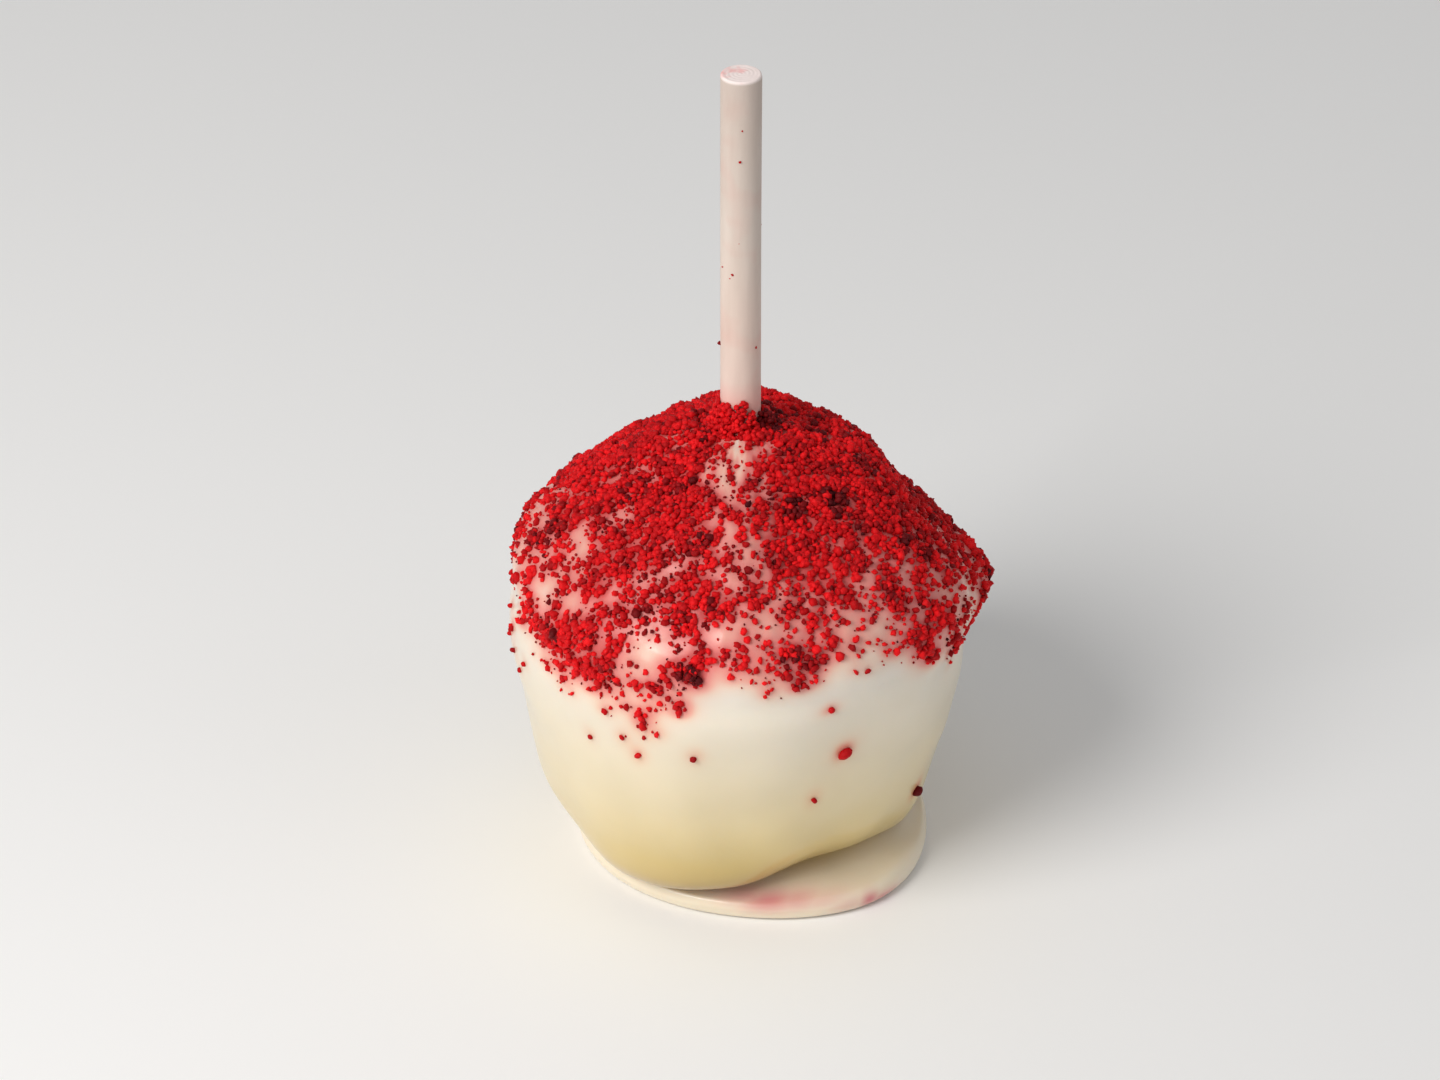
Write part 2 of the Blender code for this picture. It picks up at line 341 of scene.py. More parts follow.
def coatGrid():
    # along and azimuth of every grid point, rows from near the underside's middle to the hole's rim
    counts = enumerate(coatShape["rowsPerRing"])
    stops = [np.linspace(ring, ring + 1, rows, endpoint=False) for ring, rows in counts]
    share = np.concatenate(stops)[1:] / lastRing
    azimuth = np.linspace(-180, 180, coatShape["around"], endpoint=False)
    seek, bend = coatShape["rimReach"]
    steps = np.linspace(lastRing - seek, lastRing, 200)
    rim = stickRadius + coatShape["holeClearance"] * mm
    last = []
    for turn in azimuth:
        path = coatPoints(steps, np.full_like(steps, turn))
        away = np.hypot(path[:, 0] - stickMiddle.x, path[:, 1] - stickMiddle.y)
        last.append(np.interp(-rim, -away, steps))
    last = np.array(last)[None]
    stretch = ease(lastRing - bend, lastRing, share[:, None] * lastRing)
    along = np.vstack((share[:, None] * lastRing - stretch * (lastRing - last), last))
    return along, np.broadcast_to(azimuth, along.shape)


gridAlong, gridAzimuth = coatGrid()
gridPoints = coatPoints(gridAlong.ravel(), gridAzimuth.ravel()).reshape(*gridAlong.shape, 3)
gridRows = len(gridAlong)
print("coating grid", gridAlong.shape)


# Where the crumbs lie.

crumbField = {
    "edgeHeight": 42.0,
    # azimuth, half width in degrees, change of the lower edge's height
    "edgeDips": ((-142, 20, -3.2), (-116, 6, -5.2), (-95, 8.5, 4.6), (-63, 9, 5.5), (-8, 20, -5.4),
                 (60, 28, 3.0), (112, 18, -2.5), (150, 16, 3.5)),
    "edgeWaver": (0.7, 5.0, 12, 21),  # the edge's wandering: height, length, count of waves, seed
    "fringe": (-1.5, 5.0),  # heights above the edge over which the crumbs begin
    "thin": 0.75,  # cover of the lower band
    "full": (52.0, 63.0),  # heights between which the band fills up
    # change of the cover, length, count of waves, seed
    "waver": ((0.08, 5.0, 18, 22), (0.13, 2.2, 18, 23)),
    # azimuth, height, half widths round and up the dome in mm, change of the cover
    "patches": (
        (-95, 66.2, 2.8, 1.8, -0.40),  # open rib below the stick
        (-95, 63.0, 3.2, 2.0, -0.34),
        (-98, 59.8, 3.0, 1.6, -0.30),
        (-89, 57.9, 2.4, 1.2, -0.26),
        (-95, 53.2, 3.2, 1.1, -0.58),
        (-82, 53.2, 2.2, 1.8, -0.16),  # windows on the right
        (-64, 54.6, 2.2, 1.2, -0.28),
        (-57, 50.8, 2.8, 1.4, -0.54),
        (-67, 48.8, 2.4, 1.1, -0.24),
        (-46, 57.2, 3.5, 1.4, -0.22),
        (-30, 53.0, 2.4, 1.4, -0.16),
        (-39, 43.0, 2.8, 2.0, -0.34),
        (-16, 45.5, 6.0, 4.6, -0.48),
        (-158, 56.2, 3.0, 1.2, -0.40),  # windows on the left
        (-155, 50.4, 3.4, 1.4, -0.66),
        (-141, 51.6, 2.6, 1.3, -0.40),
        (-171, 43.6, 3.6, 3.0, -0.56),
        (-177, 48.2, 3.0, 1.8, -0.30),
        (-120, 44.4, 2.8, 2.2, -0.60),
        (-110, 41.6, 2.8, 2.0, -0.44),
        (-114, 49.9, 2.4, 1.8, -0.64),
        (-117, 57.2, 1.9, 1.1, -0.44),
        (-104, 42.6, 1.6, 1.2, -0.50),
        (-136, 46.8, 4.5, 2.6, 0.13),  # drifts
        (-127, 43.2, 2.4, 1.8, 0.34),
        (-117, 37.2, 2.8, 1.4, 0.70),
        (-109, 54.4, 3.2, 1.8, 0.34),
        (-104, 49.6, 1.6, 1.8, 0.20),
        (-37, 48.6, 2.6, 1.4, 0.04),
        (-17, 55.4, 5.5, 1.8, 0.10),
        (60, 52.0, 6.0, 3.0, -0.40),  # the far side
        (112, 49.0, 6.0, 3.0, -0.35),
        (165, 52.0, 4.0, 2.0, -0.40),
        (90, 46.0, 6.0, 2.5, 0.30),
        (140, 45.0, 6.0, 2.5, 0.30),
    ),
}


def edgeHeight(azimuth):
    # edge height + sum of bells over the azimuth
    height = crumbField["edgeHeight"] + 0 * azimuth
    for middle, width, change in crumbField["edgeDips"]:
        height = height + change * bell(turnBetween(azimuth, middle), width)
    return height


def cover(points, azimuth):
    # share of the surface that crumbs hide: fringe(above the edge) * (thin + (1 - thin) * ease(height)
    # + patches + waves), 0 to 1
    wander, size, count, seed = crumbField["edgeWaver"]
    heights = points[:, 2] / mm
    above = heights - edgeHeight(azimuth) - wander * waves(points, size * mm, count, seed)
    thin = crumbField["thin"]
    share = thin + (1 - thin) * ease(*crumbField["full"], heights)
    for middle, height, halfRound, halfUp, change in crumbField["patches"]:
        sideways = np.radians(turnBetween(azimuth, middle)) * np.hypot(points[:, 0], points[:, 1]) / mm
        share += change * bell(sideways, halfRound) * bell(heights - height, halfUp)
    for height, length, count, seed in crumbField["waver"]:
        share += height * waves(points, length * mm, count, seed)
    return np.clip(share, 0, 1) * ease(*crumbField["fringe"], above)


cellMiddle = (gridAlong[:-1] + gridAlong[1:]) / 2
cellAzimuth = gridAzimuth[:-1] + 180 / coatShape["around"]
cellPoints = coatPoints(cellMiddle.ravel(), cellAzimuth.ravel())
cellCover = cover(cellPoints, cellAzimuth.ravel()).reshape(cellMiddle.shape)
stepUp = gridPoints[1:] - gridPoints[:-1]
stepRound = np.roll(gridPoints, -1, axis=1)[:-1] - gridPoints[:-1]
cellArea = np.linalg.norm(np.cross(stepRound, stepUp), axis=-1)
cellCover[cellMiddle < creaseRing + 1] = 0
print("dome under crumbs", round(float((cellArea * cellCover).sum() * 1e6)), "mm2")


def scatter(count, weight, seed):
    # count spots, their number in a cell in proportion to weight * area, by equal steps of its running sum
    draw = np.random.default_rng(seed)
    running = np.cumsum((weight * cellArea).ravel())
    picks = (np.arange(count) + draw.uniform(0, 1, count)) / count * running[-1]
    cells = np.minimum(np.searchsorted(running, picks), running.size - 1)
    row, column = np.divmod(cells, coatShape["around"])
    low, high = gridAlong[row, column], gridAlong[row + 1, column]
    along = low + (high - low) * draw.uniform(0, 1, count)
    azimuth = gridAzimuth[row, column] + draw.uniform(0, 1, count) * 360 / coatShape["around"]
    return along, azimuth, cellCover[row, column]


# The crumbs themselves.

def lumpPattern(around, rows):
    # unit sphere grid (cos f cos t, cos f sin t, sin f) with two poles, and its faces
    f = (np.arange(1, rows + 1) / (rows + 1) - 0.5) * math.pi
    t = np.arange(around) / around * 2 * math.pi
    f, t = np.meshgrid(f, t, indexing="ij")
    points = np.stack((np.cos(f) * np.cos(t), np.cos(f) * np.sin(t), np.sin(f)), -1).reshape(-1, 3)
    points = np.vstack((points, ((0, 0, -1), (0, 0, 1))))
    return points, ringFaces(rows, around)


lumpStretch = (0.65, 1.3)  # least and most length of a lump along each of its three ways, in radii


def lumps(centres, radii, roughness, seed, around=6, rows=3):
    # centre + R (s * p * (1 + roughness * n)) * r: every lump stretched, dented and turned its own way
    draw = np.random.default_rng(seed)
    pattern, faces = lumpPattern(around, rows)
    count, corners = len(centres), len(pattern)
    stretch = draw.uniform(*lumpStretch, (count, 1, 3))
    dents = 1 + roughness * draw.uniform(-1, 1, (count, corners, 1))
    spins = np.linalg.qr(draw.normal(size=(count, 3, 3)))[0]
    spins *= np.sign(np.linalg.det(spins))[:, None, None]
    shapes = np.einsum("nij,nkj->nki", spins, pattern[None] * stretch * dents)
    points = centres[:, None] + shapes * radii[:, None, None]
    sizes = np.array([len(face) for face in faces])
    flat = np.concatenate([np.array(face) for face in faces])
    allFaces = (flat[None] + np.arange(count)[:, None] * corners).ravel()
    ends = np.cumsum(np.tile(sizes, count))
    return points.reshape(-1, 3), np.split(allFaces, ends[:-1]), corners


crumbKinds = {
    # radius low and high in mm, share of the covered area, power of the cover that they follow, bunch
    # size and spread in mm, lift in radii and in mm of pile, tone low and high
    "crumbsMedium": {
        "radius": (0.39, 0.63), "share": 0.32, "crowd": 0.15, "bunch": 1,
        "lift": 0.30, "pile": 0.2, "tone": (0.30, 1.0), "seed": 31,
    },
    "crumbsSmall": {
        "radius": (0.27, 0.42), "share": 0.17, "crowd": 0.15, "bunch": 1,
        "lift": 0.40, "pile": 0.4, "tone": (0.25, 0.95), "seed": 32,
    },
    "crumbsBunched": {
        "radius": (0.34, 0.66), "share": 0.38, "crowd": 1.1, "bunch": 6, "spread": 0.62,
        "lift": 0.35, "pile": 0.3, "tone": (0.30, 0.95), "seed": 33,
    },
    "crumbsDust": {
        "radius": (0.12, 0.22), "share": 0.03, "crowd": -0.4, "bunch": 1,
        "lift": 0.50, "pile": 0.0, "tone": (0.15, 0.7), "seed": 34,
    },
}
crumbLay = {
    "fullCover": 0.90,  # share hidden where the crumbs are thickest
    "leastCover": 0.05,  # least cover whose power a kind follows
    "meanSize": 0.8,  # the mean disc, between the smallest at 0 and the largest at 1
    "smallBias": 1.4,  # above 1, small crumbs are commoner than large ones
    "pileFrom": 0.85,  # cover from which crumbs pile up
    "mostLift": 0.75,  # in radii, so that every crumb touches what it lies on
    "roughness": 0.30,  # dents in radii
    "toneSpread": 0.12,  # from crumb to crumb within a bunch
}
clumps = (
    # azimuth, height, crumbs, half widths round and up in mm, tone low and high
    (-105.5, 47.7, 24, 1.3, 0.6, 0.0, 0.25),
    (-44, 63.3, 16, 1.0, 0.7, 0.0, 0.2),
    (-64, 63.8, 10, 0.8, 0.6, 0.05, 0.3),
    (66, 66.9, 16, 1.0, 0.8, 0.0, 0.25),
    (140, 50.0, 14, 1.0, 0.8, 0.1, 0.4),
    (142, 60.2, 170, 3.0, 2.2, 0.35, 1.0),  # heaps behind the dome's shoulder
    (131, 64.2, 150, 3.0, 1.2, 0.35, 1.0),
    (108, 62.4, 150, 3.4, 1.6, 0.35, 1.0),
)
clumpShape = {"radius": (0.38, 0.66), "rise": 0.9, "lift": 0.2}  # mm, mm and radii
toastedSpots = (
    # azimuth, height, half width of a patch of dark crust crumbs, share of crumbs that are dark
    (-105, 47.7, 1.2, 0.8),
    (-44, 63.2, 1.4, 0.8),
    (-64, 63.8, 1.1, 0.6),
    (66, 66.9, 1.6, 0.8),
    (-5, 63.5, 1.4, 0.5),
    (-128, 65.1, 1.0, 0.5),
    (-145, 54.1, 1.1, 0.4),
    (-45, 60.2, 1.1, 0.4),
    (60, 60.0, 1.6, 0.7),
    (150, 52.0, 1.6, 0.7),
)
crumbFinish = {
    "roughness": 0.6,
    "tones": (
        (0.0, (0.060, 0.002, 0.004)),
        (0.2, (0.20, 0.002, 0.004)),
        (0.5, (0.54, 0.003, 0.006)),
        (1.0, (0.90, 0.008, 0.012)),
    ),
    "drifts": ((0.08, 8.0, 12, 41), (0.08, 3.0, 14, 42)),  # change of tone, length, count of waves, seed
    "crust": (0.0, 0.14),  # tones of the dark crust crumbs
    "crustReach": (1.6, 0.6),  # where a dark patch ends and where it is full, in its half widths
    "dim": (0.04, 0.4),  # share of crumbs that are dim anywhere, and what is left of their tone
    "grain": (1700, 3),  # features per metre and their detail
    "speckle": ((0.78, 0.70, 0.70), (1.18, 1.25, 1.25)),
    "bump": (0.25, 0.8),  # depth in mm and strength
}


def toasted(points):
    # the largest of the toasted patches' shares at each point: most * ease over the distance
    share = np.zeros(len(points))
    end, full = crumbFinish["crustReach"]
    for middle, height, width, most in toastedSpots:
        spot = coatPoints(alongAt(height, middle), np.array([float(middle)]))[0]
        away = np.linalg.norm(points - spot, axis=1) / mm
        share = np.maximum(share, most * ease(end * width, full * width, away))
    return share


def crumbTones(points, low, high, draw):
    # low to high at random + waves, with some crumbs dim and those of toasted patches dark
    tone = low + (high - low) * draw.uniform(0, 1, len(points))
    for change, length, count, seed in crumbFinish["drifts"]:
        tone += change * waves(points, length * mm, count, seed)
    dark = draw.uniform(0, 1, len(points)) < toasted(points)
    tone = np.where(dark, draw.uniform(*crumbFinish["crust"], len(points)), tone)
    often, left = crumbFinish["dim"]
    dim = draw.uniform(0, 1, len(points)) < often
    return np.clip(np.where(dim, tone * left, tone), 0, 1)


def crumbMaterial():
    # moist red crumb: the tone's ramp * speckle, bumped
    material, tree, shader = newMaterial("redCrumb", crumbFinish["roughness"], Specular_IOR_Level=0.15,
                                         Subsurface_Weight=0.3, Subsurface_Scale=0.7 * mm)
    shader.inputs["Subsurface Radius"].default_value = (1.0, 0.12, 0.12)
    colour = ramp(tree, painted(tree, "tone"), crumbFinish["tones"])
    crumb = grain(tree, *crumbFinish["grain"])
    speckled = mixed(tree, crumb, *crumbFinish["speckle"])
    tree.links.new(mixed(tree, 1.0, colour, speckled, "MULTIPLY"), shader.inputs["Base Color"])
    depth, strength = crumbFinish["bump"]
    bumped(tree, shader, crumb, depth * mm, strength)
    return material


redCrumb = crumbMaterial()
crumbSpots = []


def bunched(along, azimuth, bunch, spread, draw):
    # a handful of crumbs round each spot: spot + spread * n / (length of one step along or round)
    near = 0.05
    up = coatPoints(np.minimum(along + near, lastRing), azimuth) - coatPoints(along - near, azimuth)
    across = coatPoints(along, azimuth + near) - coatPoints(along, azimuth - near)
    sideways, upward = draw.normal(size=(2, len(along), bunch)) * spread * mm * 2 * near
    along = along[:, None] + upward / np.linalg.norm(up, axis=1)[:, None]
    azimuth = azimuth[:, None] + sideways / np.maximum(np.linalg.norm(across, axis=1), 1e-7)[:, None]
    return np.minimum(along, gridAlong[-1].min()).ravel(), turnBetween(azimuth, 0.0).ravel()


def buildCrumbs(name, kind):
    # discs strewn at random hide 1 - exp(-their area), so the area to strew is -log(1 - cover)
    draw = np.random.default_rng(kind["seed"] + 100)
    lay = crumbLay
    crowded = np.maximum(cellCover, lay["leastCover"]) ** kind["crowd"]
    weight = -np.log(1 - lay["fullCover"] * cellCover) * crowded
    low, high = kind["radius"]
    discArea = math.pi * (low * mm) ** 2 * (1 + (high / low - 1) * lay["meanSize"])
    bunch = kind["bunch"]
    spots = int(kind["share"] * (weight * cellArea).sum() / discArea / bunch)
    along, azimuth, share = scatter(spots, weight, kind["seed"])
    base = crumbTones(coatPoints(along, azimuth), *kind["tone"], draw)
    if bunch > 1:
        along, azimuth = bunched(along, azimuth, bunch, kind["spread"], draw)
        share, base = (np.repeat(values, bunch) for values in (share, base))
    radii = (low + (high - low) * draw.uniform(0, 1, len(along)) ** lay["smallBias"]) * mm
    heaped = kind["pile"] * mm * ease(lay["pileFrom"], 1.0, share) * draw.uniform(0, 1, len(along))
    lift = np.minimum(radii * kind["lift"] + heaped, lay["mostLift"] * radii)
    centres = coatPoints(along, azimuth) + coatNormals(along, azimuth) * lift[:, None]
    crumbSpots.append((along, azimuth, radii))
    tone = np.clip(base + draw.uniform(-lay["toneSpread"], lay["toneSpread"], len(centres)), 0, 1)
    points, faces, corners = lumps(centres, radii, lay["roughness"], kind["seed"] + 200)
    newPiece(name, points, faces, redCrumb, {"tone": np.repeat(tone, corners)})


for name, kind in crumbKinds.items():
    buildCrumbs(name, kind)

strays = (
    # azimuth, height, radius, tone of the single crumbs on the bare side
    (-168.0, 38.6, 0.50, 0.4), (-171.0, 36.6, 0.42, 0.5), (-166.5, 35.4, 0.48, 0.3),
    (-162.0, 33.6, 0.40, 0.4), (-174.0, 40.2, 0.55, 0.5), (-158.0, 36.2, 0.38, 0.5),
    (-130.9, 31.9, 0.40, 0.4), (-116.4, 32.1, 0.60, 0.6), (-102.4, 33.5, 0.50, 0.3),
    (-64.1, 31.9, 1.00, 0.45), (-70.9, 41.1, 0.55, 0.5), (-70.2, 23.6, 0.45, 0.4),
    (-28.1, 14.3, 0.85, 0.1), (-121.0, 34.5, 0.45, 0.5), (35.0, 33.0, 0.70, 0.5),
    (62.0, 26.0, 0.50, 0.4), (88.0, 36.0, 0.60, 0.6), (105.0, 30.0, 0.90, 0.3),
    (128.0, 34.0, 0.45, 0.5), (148.0, 24.0, 0.60, 0.4), (172.0, 33.0, 0.55, 0.6),
)
strayShape = {"lift": 0.35, "roughness": 0.09, "seed": 55, "around": 10, "rows": 6}  # lift in radii
stickHeaps = (
    # crumbs against the stick: count, reach and height in mm, facing and spread in degrees, radii, tones
    {"count": 120, "reach": 1.6, "height": 0.7, "facing": 90, "spread": 180,
     "radius": (0.32, 0.56), "tone": (0.3, 0.9)},
    {"count": 290, "reach": 1.7, "height": 4.8, "facing": -122, "spread": 78,
     "radius": (0.30, 0.52), "tone": (0.4, 1.0)},
    {"count": 60, "reach": 2.6, "height": 2.4, "facing": 25, "spread": 45,
     "radius": (0.32, 0.56), "tone": (0.1, 0.8)},
    # the darkest heap, right of the stick: dark crumbs, made darker still as painted shadow of the stick
    {"count": 45, "reach": 3.4, "height": 2.6, "facing": -18, "spread": 24,
     "radius": (0.36, 0.60), "tone": (0.0, 0.16)},
)
heapShape = {
    "seed": 51,
    "lumpSeed": 53,
    "roughness": 0.24,
    "gap": 0.25,  # from the paper to the middle of the nearest crumbs
    "nearBias": 1.4,  # above 1, crumbs are commoner close to the paper
    "groundRows": 70,  # rows of the coating below the stick where a heap may stand
    "sides": (1.05, 0.7),  # where a heap ends to the sides and where it is full, in its spread
}
stickSpecks = (
    # azimuth round the stick, height, radius, tone
    (-87, 117.0, 0.16, 0.4), (-93, 112.1, 0.22, 0.4), (-152, 94.4, 0.14, 0.5), (-114, 93.8, 0.20, 0.4),
    (-122, 93.1, 0.12, 0.5), (-176, 81.2, 0.30, 0.2), (-42, 81.5, 0.20, 0.3), (-95, 99.0, 0.10, 0.5),
    (20, 100.0, 0.18, 0.4), (70, 84.0, 0.20, 0.4), (130, 106.0, 0.16, 0.4), (160, 80.0, 0.22, 0.3),
)
speckShape = {"sunk": 0.06, "lift": 0.2, "roughness": 0.24, "seed": 54}  # mm below the paper, radii


def besideStick(heap, draw):
    # surface height + sqrt(u) * height * (1 - d / reach) * ease over the facing, d the way out from
    # the stick
    turn = np.radians(heap["facing"] + heap["spread"] * draw.uniform(-1, 1, heap["count"]))
    away = draw.uniform(0, 1, len(turn)) ** heapShape["nearBias"] * heap["reach"] * mm
    x = stickMiddle.x + (stickRadius + away + heapShape["gap"] * mm) * np.cos(turn)
    y = stickMiddle.y + (stickRadius + away + heapShape["gap"] * mm) * np.sin(turn)
    dome = gridPoints[-heapShape["groundRows"]:].reshape(-1, 3)
    ground = dome[np.argmin((dome[:, :1] - x) ** 2 + (dome[:, 1:2] - y) ** 2, axis=0), 2]
    aside = np.abs(turnBetween(np.degrees(turn), heap["facing"])) / heap["spread"]
    share = (1 - away / (heap["reach"] * mm)) * ease(*heapShape["sides"], aside)
    z = ground + heap["height"] * mm * share * np.sqrt(draw.uniform(0, 1, len(turn)))
    radii = draw.uniform(*heap["radius"], len(turn)) * mm
    return np.stack((x, y, z), -1), radii, draw.uniform(*heap["tone"], len(turn))


def clumped(azimuth, height, count, halfRound, halfUp, toneLow, toneHigh, draw):
    # a bell of crumbs over one place, higher in the middle: rise * exp(-(u^2 + v^2) / 2)
    u, v = draw.normal(size=(2, count))
    place = coatPoints(alongAt(height, azimuth), np.array([float(azimuth)]))[0]
    away = math.hypot(place[0], place[1]) / mm
    turn = azimuth + np.degrees(u * halfRound / away)
    along = alongAt(height + v * halfUp, turn)
    radii = draw.uniform(*clumpShape["radius"], count) * mm
    rise = clumpShape["rise"] * mm * np.exp(-(u**2 + v**2) / 2) + clumpShape["lift"] * radii
    crumbSpots.append((along, turn, radii))
    centres = coatPoints(along, turn) + coatNormals(along, turn) * rise[:, None]
    return centres, radii, draw.uniform(toneLow, toneHigh, count)


def buildStrays():
    # single crumbs: surface + normal * lift * radius
    turn, height, radius, tone = (np.array(column, float) for column in zip(*strays))
    along = alongAt(height, turn)
    lift = (radius * strayShape["lift"] * mm)[:, None]
    centres = coatPoints(along, turn) + coatNormals(along, turn) * lift
    crumbSpots.append((along, turn, radius * mm))
    points, faces, corners = lumps(centres, radius * mm, strayShape["roughness"], strayShape["seed"],
                                   strayShape["around"], strayShape["rows"])
    newPiece("crumbsStray", points, faces, redCrumb, {"tone": np.repeat(tone, corners)})


def buildLooseCrumbs():
    # the heaps round the stick and the clumps on the dome
    draw = np.random.default_rng(heapShape["seed"])
    groups = [besideStick(heap, draw) for heap in stickHeaps]
    groups += [clumped(*clump, draw) for clump in clumps]
    centres = np.vstack([group[0] for group in groups])
    radii, tone = (np.concatenate([group[index] for group in groups]) for index in (1, 2))
    points, faces, corners = lumps(centres, radii, heapShape["roughness"], heapShape["lumpSeed"])
    newPiece("crumbsLoose", points, faces, redCrumb, {"tone": np.repeat(tone, corners)})


def buildSpecks():
    # specks on the paper: middle + outward * (stick radius - sunk + lift * radius)
    turn, height, radius, tone = (np.array(column, float) for column in zip(*stickSpecks))
    out = np.stack((np.cos(np.radians(turn)), np.sin(np.radians(turn)), 0 * turn), -1)
    away = stickRadius - speckShape["sunk"] * mm + speckShape["lift"] * radius * mm
    centres = np.array((stickMiddle.x, stickMiddle.y, 0)) + out * away[:, None]
    centres[:, 2] = height * mm
    points, faces, corners = lumps(centres, radius * mm, speckShape["roughness"], speckShape["seed"])
    newPiece("stickSpecks", points, faces, redCrumb, {"tone": np.repeat(tone, corners)})


buildStrays()
buildLooseCrumbs()
buildSpecks()


# The coating's finish and its mesh.

coatFinish = {
    "ivory": (0.83, 0.77, 0.68),
    # warm tint: partly the coating's own colour, partly painted warm reflection of light bounced from below
    "warmAndBounce": (0.77, 0.60, 0.22),
    # height and share of the warm tint, the coating's own yellower colour together with a painted warm
    # reflection from below
    "warmthAndBounce": ((0.0, 0.10), (3.0, 0.25), (7.0, 1.0), (10.0, 1.0), (20.0, 0.62), (32.0, 0.28), (44.0, 0.0)),
    "bounceSide": (-80, 45, 0.6),  # azimuth and half width of the side where the painted warm reflection is strongest, share left on the far side
    # reach in grid cells and strength of the red that the crumbs bleed into the coating
    "bleeds": ((1.8, 2.6), (4.0, 1.2)),
    # share of red and what it leaves of the coating's colour
    "bled": ((0.0, (1, 1, 1)), (0.25, (1.0, 0.80, 0.75)), (0.5, (0.99, 0.55, 0.51)),
             (0.92, (0.92, 0.28, 0.29)), (0.995, (0.72, 0.09, 0.10))),
    "stain": (0.66, 0.19, 0.21),  # the red that ran into the foot
    "creaseShade": (0.26, 0.14, 0.05),  # painted shade: dark warm brown deep in the crease over the foot
    "creaseShadeSide": (-96, 26, 0.95, 0.20),  # azimuth, half width, depth of the painted crease shade there and elsewhere
    "creaseShadeReach": (0.28, 1.1),  # how far the painted crease shade reaches over the foot and up the side, in rings
    "foot": (0.87, 0.77, 0.61),
    "roughness": (0.28, 0.5),  # of the bare and of the soaked coating
    "coat": (0.3, 0.04),  # weight of the gloss over them
    # noise: features per metre and their detail
    "clouds": (90, 2),
    "cloudTints": ((0.93, 0.92, 0.89), (1.05, 1.05, 1.06)),
    "dimples": (420, 3),
    "dimpleBump": (0.12, 0.35),  # depth in mm and strength
}


def blushGrid():
    # 1 - exp(-sum of strength * blurred crumb area per area): the pink that crumbs bleed round themselves
    covered = np.zeros((gridRows, coatShape["around"]))
    flatAlong = gridAlong[:, 0]
    for along, azimuth, radii in crumbSpots:
        row = np.clip(np.searchsorted(flatAlong, along), 0, gridRows - 1)
        column = np.round((azimuth + 180) / 360 * coatShape["around"]).astype(int) % coatShape["around"]
        np.add.at(covered, (row, column), math.pi * radii**2)
    area = np.vstack((cellArea, cellArea[-1:]))
    red = 0
    for cells, strength in coatFinish["bleeds"]:
        near, whole = (blurred(blurred(grid, cells, 0, False), cells, 1, True) for grid in (covered, area))
        red = red + strength * near / whole
    return 1 - np.exp(-red)


stains = (
    # x, y, z, half length, half width in mm, depth of the red that ran into the foot
    (3.6, -25.6, 2.9, 3.4, 1.0, 0.88),
    (7.4, -25.4, 3.0, 3.0, 0.9, 0.68),
    (0.0, -24.6, 3.2, 3.2, 0.9, 0.62),
    (11.0, -25.2, 2.9, 3.4, 0.8, 0.40),
    (18.0, -23.2, 1.6, 1.2, 0.8, 1.00),
    (19.8, -21.6, 1.1, 2.4, 0.7, 0.74),
    (15.0, -24.6, 1.8, 2.6, 0.9, 0.36),
)
stainReach = 1.6  # half width of a stain outward from the cake, in mm


def creaseShadeGrid():
    # painted shade in the crease: depth(azimuth) * exp(-(rings from the crease / reach)^2 / 2), with its
    # own reach below and above
    middle, width, most, least = coatFinish["creaseShadeSide"]
    depth = least + (most - least) * bell(turnBetween(gridAzimuth, middle), width)
    below, above = coatFinish["creaseShadeReach"]
    rings = gridAlong - creaseRing
    return depth * bell(rings, np.where(rings < 0, below, above))


def warmthAndBounceGrid():
    # share of the warm tint by height, strongest on the side that gets the painted warm reflection
    places, shares = zip(*coatFinish["warmthAndBounce"])
    middle, width, least = coatFinish["bounceSide"]
    side = least + (1 - least) * bell(turnBetween(gridAzimuth, middle), width)
    return np.interp(gridPoints[..., 2] / mm, places, shares) * side


def stainGrid():
    # the largest of depth * bell(along the rim) * bell(upward) * bell(outward)
    share = np.zeros(gridPoints.shape[:2])
    for x, y, z, halfLong, halfWide, depth in stains:
        away = gridPoints / mm - np.array((x, y, z))
        turn = math.atan2(y, x)
        outward = away[..., 0] * math.cos(turn) + away[..., 1] * math.sin(turn)
        along = away[..., 1] * math.cos(turn) - away[..., 0] * math.sin(turn)
        spot = depth * bell(along, halfLong) * bell(away[..., 2], halfWide) * bell(outward, stainReach)
        share = np.maximum(share, spot)
    return share


